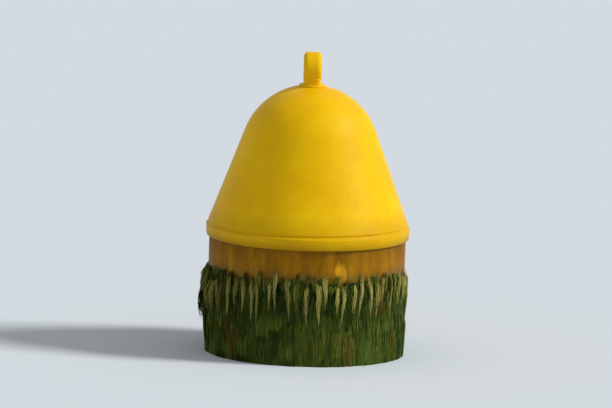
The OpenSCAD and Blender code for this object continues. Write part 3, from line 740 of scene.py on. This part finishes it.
def hexagon_body(af, low, high, bore_r=None):
    """A hexagon along Z whose faces are cut by a cone of 30 degrees. In each direction the section runs from
    the bore along the round face, down the cone to the hexagon's side, and back. A bolt's head has no bore
    and is flat below, and its section stays open, as a grid of columns round the axis."""
    around = 96
    reach = hexagon_reach(af, around, face_inset)
    face_r = af / 2 - face_inset
    drop = (reach - face_r) * math.tan(nut_cone)
    soft = 0.3 * (reach - face_r)
    above = [(reach, high - drop, soft), (face_r, high, sharp_edge)]
    if bore_r:
        inner_edge = 0.8 * mm
        below = [(bore_r, low, inner_edge), (face_r, low, sharp_edge), (reach, low + drop, soft)]
        return turned(rounded_outline([*below, *above, (bore_r, high, inner_edge)], 4, 2), around)
    below = [(pole_r, low, sharp_edge), (reach, low, sharp_edge)]
    head = rounded_outline([*below, *above, (pole_r, high, sharp_edge)], 4, [4, 3, 2, 4, 0])
    return turned(head, around).swapaxes(0, 1)


for node in ("clamp_nut", "lock_nut", "swivel_nut"):
    nut_low, nut_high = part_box(node)
    hexagon = hexagon_body(nut_af, nut_low[2], nut_high[2], rod_r + nut_gap)
    name = node.replace("_nut", "_hexagon")
    piece(name, "buoy", "galvanised_steel", node, shell(hexagon), sharp=30)
washer_low, washer_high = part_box("ballast_washer")
washer_grid = turned_ring(rod_hole_r, washer_high[0], washer_low[2], washer_high[2], 0.6 * mm, 96)
piece("washer_ring", "buoy", "galvanised_steel", "ballast_washer", shell(washer_grid))

# The swivel: a steel bow, drop forged and galvanised. Its boss turns freely on the rod between two nuts, and
# the eye at its foot takes the shackle's bolt.
swivel_low, swivel_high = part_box("swivel_bow")
swivel_bar_r = 8 * mm
side_x = swivel_high[0] - swivel_bar_r
corner_r = 14 * mm
beam_z = (boss_z + boss_top) / 2
corner_z = beam_z - corner_r
lower_z = corner_z - 22 * mm
boss_r = 20 * mm
in_boss_x = 13 * mm
swivel_eye_r = 23 * mm
swivel_eye_half = 10 * mm
forged_edges = [1 * mm, 3 * mm, 3 * mm, 1 * mm]
bolt_z = swivel_low[2] + swivel_eye_r
bolt_r = 8 * mm
bolt_hole_r = bolt_r + rod_gap


def arc(centre, radius, start, end, count):
    """Points of a circle's arc in a plane, from start to end in degrees."""
    angle = np.radians(np.linspace(start, end, count))
    return np.array(centre) + radius * np.stack([np.cos(angle), np.sin(angle)], -1)


def whole_path(half, flip, normal):
    """A flat path: its first half and, backwards, that half's mirror image, which is the half times flip. The
    plane lies square to X where normal is 0, and to Y where it's 1."""
    return np.insert(np.concatenate([half, half[-2::-1] * flip]), normal, 0, axis=1)


def swept(path, across, half_axes, around=32):
    """A bar along a path that lies in a plane. Square to the path at each of its points stands an ellipse.
    Its first half axis lies along across, the plane's normal, and its second in the plane."""
    along = unit(np.gradient(path, axis=0))
    side = np.cross(along, across)
    turn = full_turn(around)[:, None]
    first, second = (np.broadcast_to(axis, len(path))[:, None, None] for axis in half_axes)
    return path[:, None] + np.cos(turn) * first * across + np.sin(turn) * second * side[:, None]


def forged(grid, centre, seed):
    """The grid with the shallow unevenness that a forging keeps, pushed out from and in towards centre."""
    return pushed_out(grid, bumps(grid, 20 * mm, seed) * 0.2 * mm, centre)


def on_bolt(points):
    """Turns points from their own +Z to the bolt's axis, -Y, with their origin at the bolt's middle."""
    return np.stack([points[..., 0], -points[..., 2], points[..., 1] + bolt_z], -1)


half_bow = np.concatenate([
    [(in_boss_x, beam_z)],
    arc((side_x - corner_r, corner_z), corner_r, 90, 0, 18),
    arc((0, lower_z), side_x, 0, -90, 28),
])
bow_path = whole_path(half_bow, (-1, 1), 1)

# The bar swells by 2.2 mm into the boss and by 1.6 mm into the eye, where the forging's fillets are
from_boss = np.maximum(np.abs(bow_path[:, 0]) - boss_r + np.maximum(beam_z - bow_path[:, 2], 0), 0)
from_eye = np.maximum(np.linalg.norm(bow_path - (0, 0, bolt_z), axis=1) - swivel_eye_r, 0)
bow_r = swivel_bar_r + 2.2 * mm * np.exp(-from_boss / (5 * mm)) + 1.6 * mm * np.exp(-from_eye / (6 * mm))
bow_grid = forged(swept(bow_path, (0, 1, 0), (bow_r, bow_r)), (0, 0, lower_z), 71)
boss_grid = turned_ring(rod_hole_r, boss_r, boss_z, boss_top, forged_edges, 96, 6, [4, 8, 4, 4])
eye_grid = on_bolt(turned_ring(
    bolt_hole_r, swivel_eye_r, -swivel_eye_half, swivel_eye_half, forged_edges, 96, 6, [6, 8, 6, 4]
))
materials["forged_steel"] = new_material(galvanised_steel, "galvanised_forging", rust_from=0.50)
swivel_shells = shell(bow_grid, capped=True), shell(boss_grid), shell(eye_grid)
piece("swivel_forging", "swivel", "forged_steel", "swivel_bow", *swivel_shells)

# The shackle: a steel bar bent to a U, with a forged ear at each end, and galvanised. It swings on its bolt,
# and the mooring chain would hang in it.
shackle_low, shackle_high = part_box("shackle_bow")
shackle_bar_r = 7 * mm
ear_r = shackle_high[0]
ear_out = shackle_high[1]
ear_t = 15 * mm
ear_edges = [0.8 * mm, 2.5 * mm, 2.5 * mm, 0.8 * mm]
leg_y = ear_out - ear_t / 2
leg_top = bolt_z - 10 * mm
ear_foot = bolt_z - ear_r
bow_z = shackle_low[2] + leg_y + shackle_bar_r

half_shackle = np.concatenate([
    [(leg_y, leg_top), (leg_y, ear_foot), (leg_y, ear_foot - 4 * mm)],
    arc((0, bow_z), leg_y, 0, -90, 26),
])
shackle_path = whole_path(half_shackle, (-1, 1), 0)
from_ear = np.maximum(ear_foot - shackle_path[:, 2], 0)
shackle_r = shackle_bar_r + 0.5 * mm * np.exp(-from_ear / (6 * mm))
shackle_grid = forged(swept(shackle_path, (1, 0, 0), (shackle_r, shackle_r)), (0, 0, bow_z + 20 * mm), 81)
ear = turned_ring(bolt_hole_r, ear_r, -ear_t / 2, ear_t / 2, ear_edges, 80, 6, [3, 6, 3, 4])
ears = [on_bolt(ear + (0, 0, y)) for y in (-leg_y, leg_y)]
shackle_shells = shell(shackle_grid, capped=True), shell(*ears)
piece("shackle_forging", "shackle", "forged_steel", "shackle_bow", *shackle_shells)

# The shackle's bolt: a galvanised hexagon bolt with a nut, threaded at the nut's end only. Their lengths run
# along the bolt from its middle, towards the nut.
bolt_af = 24 * mm
bolt_low, bolt_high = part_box("shackle_bolt")
bolt_tail = -bolt_low[1]
bolt_head = bolt_high[1]
bolt_nut_end = -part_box("shackle_nut")[0][1]
bolt_pitch = 2 * mm
bolt_thread_depth = 1.1 * mm
bolt_thread_from = ear_out - 3 * mm
bolt_plain_to = ear_out - 4 * mm
bolt_levels = fine_levels((-ear_out, bolt_plain_to, 6 * mm), (bolt_plain_to, bolt_tail, bolt_pitch / 6))
bolt_depth = (bolt_levels > bolt_thread_from) * bolt_thread_depth
bolt_bar = threaded_bar(bolt_levels, bolt_r, bolt_pitch, bolt_depth, 1 * mm, 56)
bolt_hexagon = hexagon_body(bolt_af, ear_out, bolt_head) * (1, 1, -1)
bolt_shells = [shell(on_bolt(grid), capped=True) for grid in (bolt_bar, bolt_hexagon)]
piece("bolt_bar", "shackle", "galvanised_steel", "shackle_bolt", *bolt_shells, sharp=30)
bolt_nut = on_bolt(hexagon_body(bolt_af, ear_out, bolt_nut_end, bolt_r + nut_gap))
piece("bolt_hexagon", "shackle", "galvanised_steel", "shackle_nut", shell(bolt_nut), sharp=30)


# The split pins: stainless half-round wire, folded to an eye and two legs, which are bent apart behind the
# bar. Each keeps its nut from working off.
def split_pin(wire_d, grip):
    """One wire along a path in the XZ plane: from the upper leg's bent tip along the bar, round the eye, and
    back to the lower leg's tip. The half-round wire is drawn as an ellipse, half as thick as it is wide."""
    offset = wire_d / 4
    run = (grip + wire_d) / 2
    bend = math.radians(35)
    tip_x, tip_z = 1.6 * wire_d * math.cos(bend), 1.6 * wire_d * math.sin(bend)
    loop_r = 0.9 * wire_d
    loop_start = math.degrees(math.asin(offset / loop_r))
    leg = [
        (run + tip_x, offset + tip_z),
        (run + tip_x / 2, offset + tip_z / 2),
        (run + wire_d / 4, offset + wire_d / 12),
        (run - wire_d / 4, offset),
    ]
    straight = np.stack([np.linspace(run / 2, wire_d / 4 - run, 8), np.full(8, offset)], -1)
    half = np.concatenate([leg, straight, arc((-run - loop_r, 0), loop_r, loop_start, 180, 16)])
    return swept(whole_path(half, (1, -1), 1), (0, 1, 0), (0.42 * wire_d, 0.22 * wire_d), 16)


def stainless_wire(tree):
    """Stainless steel wire, drawn bright and tea-stained by salt."""
    place = add(tree, "TexCoord", out="Object")
    # Tea staining comes in spots of about 3 mm
    spots = add(tree, "TexNoise", {"Vector": place, "Scale": 1 / 0.003, "Detail": 4.0})
    colour = add(tree, "ValToRGB", {"Fac": spots}, stops=[(0.45, "#BDBBB4"), (0.70, "#8A6A48")])
    gloss = add(tree, "MapRange", {"Value": spots, **noise_span, "To Min": 0.26, "To Max": 0.55})
    return add(tree, "BsdfPrincipled", {"Base Color": colour, "Metallic": 1.0, "Roughness": gloss})


materials["pin_steel"] = new_material(stainless_wire)
rod_pin_z = rod_low[2] + 5 * mm
rod_pin = shell(split_pin(3.2 * mm, 2 * rod_r) + (0, 0, rod_pin_z), capped=True)
piece("rod_pin", "buoy", "pin_steel", "rod_split_pin", rod_pin, sharp=60)
bolt_pin_z = bolt_tail - 4 * mm
bolt_pin = shell(on_bolt(split_pin(3 * mm, 2 * bolt_r) + (0, 0, bolt_pin_z)), capped=True)
piece("bolt_pin", "shackle", "pin_steel", "bolt_split_pin", bolt_pin, sharp=60)

# The weed: green thread weed, grown round the waterline. A thin mat grips the float, combed downwards, and
# locks of strands hang over it in rows. The upper locks have dried pale, with dark gaps between them.
weed_low, weed_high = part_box("weed_beard")
weed_line = weed_high[2] - 20 * mm
weed_foot = weed_low[2] + 52 * mm
weed_lean = 14 * mm
wet_z = 115 * mm
wet_fade = 45 * mm
clump_side = math.radians(180)
clump_z = 104 * mm
clump_half = 45 * mm
red_sides = (math.radians(216), math.radians(324))
red_half = math.radians(9)


def leaned(turn):
    """How much higher the weed stands at a turn round the axis, as the buoy rides leaning back."""
    return -weed_lean * np.sin(turn)


def with_back(columns):
    """The mat's columns, and its last and first once more for the side that lies on the float."""
    return np.concatenate([columns, columns[:, -1:], columns[:, :1]], 1)


mat_turn = full_turn(600)[:, None]
mat_share = np.linspace(0, 1, 44)[None]
ragged = bumps(round_z(1, mat_turn, 0), 0.10, 21)
mat_low = weed_foot + ragged * 12 * mm
mat_high = weed_line - 12 * mm + leaned(mat_turn) + ragged * 9 * mm
mat_z = mat_high * (1 - mat_share) + mat_low * mat_share

# The mat is about 1.7 mm thick, in combed lines 9 mm wide over tufts of 35 mm, and thins out at both edges
mat_place = round_z(float_r, mat_turn, mat_z)
combed = bumps(mat_place * (1, 1, 0.08), 9 * mm, 22)
tufted = bumps(mat_place * (1, 1, 0.30), 35 * mm, 23)
thinned = np.clip(np.minimum(mat_share, 1 - mat_share) * 14, 0, 1) ** 0.5
mat_out = float_r + np.maximum(1.7 + 0.7 * combed + 0.6 * tufted, 0.5) * mm * thinned
mat_in = np.full((len(mat_turn), 2), float_r - 1.5 * mm)
mat_grid = round_z(np.concatenate([mat_out, mat_in], 1), mat_turn, with_back(mat_z))
wetted = np.clip((wet_z - mat_z) / wet_fade, 0, 1)
mat_tone = with_back(0.11 + 0.15 * wetted + 0.08 * combed * (0.4 + wetted)).ravel()

# Each row of locks: the lowest and highest root, the shortest and longest strand, how many locks there are
# and strands in each, how far they lift, a lock's width as a share of its room, how far it gathers in and
# waves, how pale it is, and how much that differs from lock to lock and strand to strand. Lengths are in mm,
# and rows with every root over lean_from lean with the buoy
lean_from = 60
lock_rows = {
    "weed_edge_locks": ((138, 167), (18, 46), 110, 15, 2.0, 1.20, 0.35, 1.0, 0.28, 0.10, 0.12),
    "weed_under_locks": ((112, 158), (50, 85), 54, 50, 2.5, 1.40, 0.30, 1.4, 0.17, 0.04, 0.09),
    "weed_top_locks": ((140, 168), (56, 100), 64, 49, 5.0, 0.50, 0.40, 1.2, 0.76, 0.22, 0.13),
    "weed_middle_locks": ((50, 104), (75, 105), 50, 48, 2.2, 1.50, 0.25, 1.3, 0.26, 0.04, 0.06),
    "weed_lower_locks": ((-42, 22), (48, 84), 54, 42, 3.0, 1.50, 0.35, 1.8, 0.25, 0.05, 0.07),
}


def hanging_locks(seed, roots, lengths, locks, strands, lift, spread, gather, wave, pale, lock_mix, own_mix):
    """A row of locks as one shell of closed three-sided strands, with each point's tone and redness. A strand
    leaves its root, swells out by lift and falls back, while it draws in to its lock's middle line and waves
    with it. The tone differs in patches too, and a clump on one side stands out further and is darker."""
    random = np.random.default_rng(seed)
    rings, sides = 7, 3
    share = np.linspace(0, 1, rings)[None]

    # What differs from lock to lock
    spacing = 2 * np.pi / locks
    middle = (np.arange(locks) + random.uniform(-0.3, 0.3, locks)) * spacing
    width = random.uniform(0.6, 1.2, locks) * spread * spacing
    drop = random.uniform(*lengths, locks) * mm
    lock_top = random.uniform(*roots, locks) * mm + leaned(middle) * (roots[0] > lean_from)
    waving = random.uniform(0.5, 1.3, locks) * wave * mm / float_r
    wave_start = random.uniform(0, 1, locks)
    wave_count = random.uniform(0.8, 1.5, locks)
    slant = random.normal(0, (2 + 2 * wave) * mm / float_r, locks)
    from_clump = (lock_top - drop / 2 - clump_z) / clump_half
    clump = np.clip(np.cos(middle - clump_side), 0, 1) ** 10 * np.exp(-from_clump ** 2)
    patch = bumps(round_z(1, middle, 0), 0.5, 25)
    tone = pale * (1 - 0.45 * clump + 0.35 * patch) + random.normal(0, lock_mix, locks)
    tone = np.clip(tone, 0.02, 0.92)
    red_share = 0.03 + sum(0.6 * np.exp(-((middle - side) / red_half) ** 2) for side in red_sides)
    red = (random.uniform(0, 1, locks) < red_share) * random.uniform(0.3, 0.7, locks)

    # What differs from strand to strand
    lock = np.repeat(np.arange(locks), strands)[:, None]

    def evenly(low, high):
        """A number for each strand, from low to high."""
        return random.uniform(low, high, lock.shape)

    def scattered(deviation):
        """A number for each strand, about nought, with that deviation."""
        return random.normal(0, deviation, lock.shape)

    offset = np.clip(scattered(0.24), -0.6, 0.6) * width[lock]
    length = drop[lock] * evenly(0.55, 1.0) * (1 - 0.9 * (offset / width[lock]) ** 2)
    top = lock_top[lock] + scattered(3.0) * mm
    out = (lift * evenly(0.2, 1.0) + clump[lock] * evenly(3, 16)) * mm
    drawn_in = gather * evenly(0.8, 1.2)
    sway = scattered(0.9) * mm / float_r
    stray = scattered(0.35 * wave) * mm / float_r
    lock_wave = np.sin(2 * np.pi * (share * wave_count[lock] + wave_start[lock]))
    own_wave = np.sin(2 * np.pi * (share * 1.3 + evenly(0, 1)))
    turn = (
        middle[lock] + offset * (1 - drawn_in * share ** 0.8) + (slant[lock] + stray) * share
        + waving[lock] * lock_wave + sway * own_wave
    )
    lying = float_r + 0.6 * mm + evenly(0, 1.6) * mm
    r = lying + out * np.sin(np.pi * share ** (0.6 + 1.5 * clump[lock]))

    # A strand's own shape: three-sided, thickest near its root
    spine = round_z(r, turn, top - length * share)
    along = unit(np.gradient(spine, axis=1))
    across = unit(np.cross(along, round_z(1, turn, 0)))
    taper = np.clip(np.minimum(share * 6 + 0.3, (1 - share) * 1.6 + 0.06), 0, 1) ** 0.7
    thick = evenly(0.55, 1.10) * mm * taper
    corner = full_turn(sides)[:, None]
    ring = across[:, :, None] * np.cos(corner) + np.cross(across, along)[:, :, None] * np.sin(corner)
    points = (spine[:, :, None] + ring * thick[:, :, None, None]).reshape(-1, 3)
    tones = np.clip(tone[lock] + scattered(own_mix) + 0.11 * share, 0, 1)
    reds = red[lock] * (evenly(0, 1) < 0.6) + 0 * share
    strand = facing_out(points[:rings * sides], grid_faces(rings, sides, True))
    starts = np.arange(len(lock))[:, None, None] * rings * sides
    faces = [(block + starts).reshape(-1, block.shape[1]) for block in strand]
    return (points, faces), np.repeat(tones, sides), np.repeat(reds, sides)


def thread_weed(tree):
    """Thread weed: soft strands a millimetre across, a wet dark green at the waterline, olive higher up, and
    straw pale where they have dried. Some locks are a rust red kind."""
    place = add(tree, "TexCoord", out="Object")
    height = add(tree, "SeparateXYZ", {"Vector": place}, out="Z")
    tone = add(tree, "Attribute", out="Fac", attribute_name="tone")
    red = add(tree, "Attribute", out="Fac", attribute_name="red")
    # Patches about 25 mm across differ a little in age
    ages = add(tree, "TexNoise", {"Vector": place, "Scale": 1 / 0.025, "Detail": 3.0})
    aged = add(tree, "MapRange", {"Value": ages, **noise_span, "To Min": -0.06, "To Max": 0.06})
    # Threads a millimetre thick show as fine lines where they lie together
    threads_way = add(tree, "Mapping", {"Vector": place, "Scale": (1.0, 1.0, 0.05)})
    threads = add(tree, "TexNoise", {
        "Vector": threads_way, "Scale": 1 / 0.0016, "Detail": 3.0, "Roughness": 0.6,
    })
    lined = add(tree, "MapRange", {"Value": threads, **noise_span, "To Min": -0.10, "To Max": 0.10})
    mixed = add(tree, "Math", {0: tone, 1: aged}, operation="ADD")
    mixed = add(tree, "Math", {0: mixed, 1: lined}, operation="ADD")
    green = add(tree, "ValToRGB", {"Fac": mixed}, stops=[
        (0.03, "#14180B"), (0.28, "#3F5215"), (0.52, "#6B7027"), (0.85, "#A99F55"),
    ])
    colour = add(tree, "Mix", {0: red, 6: green, 7: "#5E3212"}, out=2, data_type="RGBA")
    gloss = add(tree, "MapRange", {"Value": height, "From Max": 0.10, "To Min": 0.45, "To Max": 0.75})
    relief = add(tree, "Bump", {"Height": threads, "Strength": 0.7, "Distance": 0.8 * mm})
    return add(tree, "BsdfPrincipled", {
        "Base Color": colour, "Roughness": gloss, "Normal": relief, "IOR": 1.36, "Specular IOR Level": 0.12,
    })


materials["weed"] = new_material(thread_weed)
piece("weed_mat", "buoy", "weed", "weed_beard", shell(mat_grid), sharp=60, tone=mat_tone, red=0 * mat_tone)
for seed, (name, row) in enumerate(lock_rows.items(), 30):
    locks_shell, tones, reds = hanging_locks(seed, *row)
    piece(name, "buoy", "weed", None, locks_shell, sharp=180, tone=tones, red=reds)
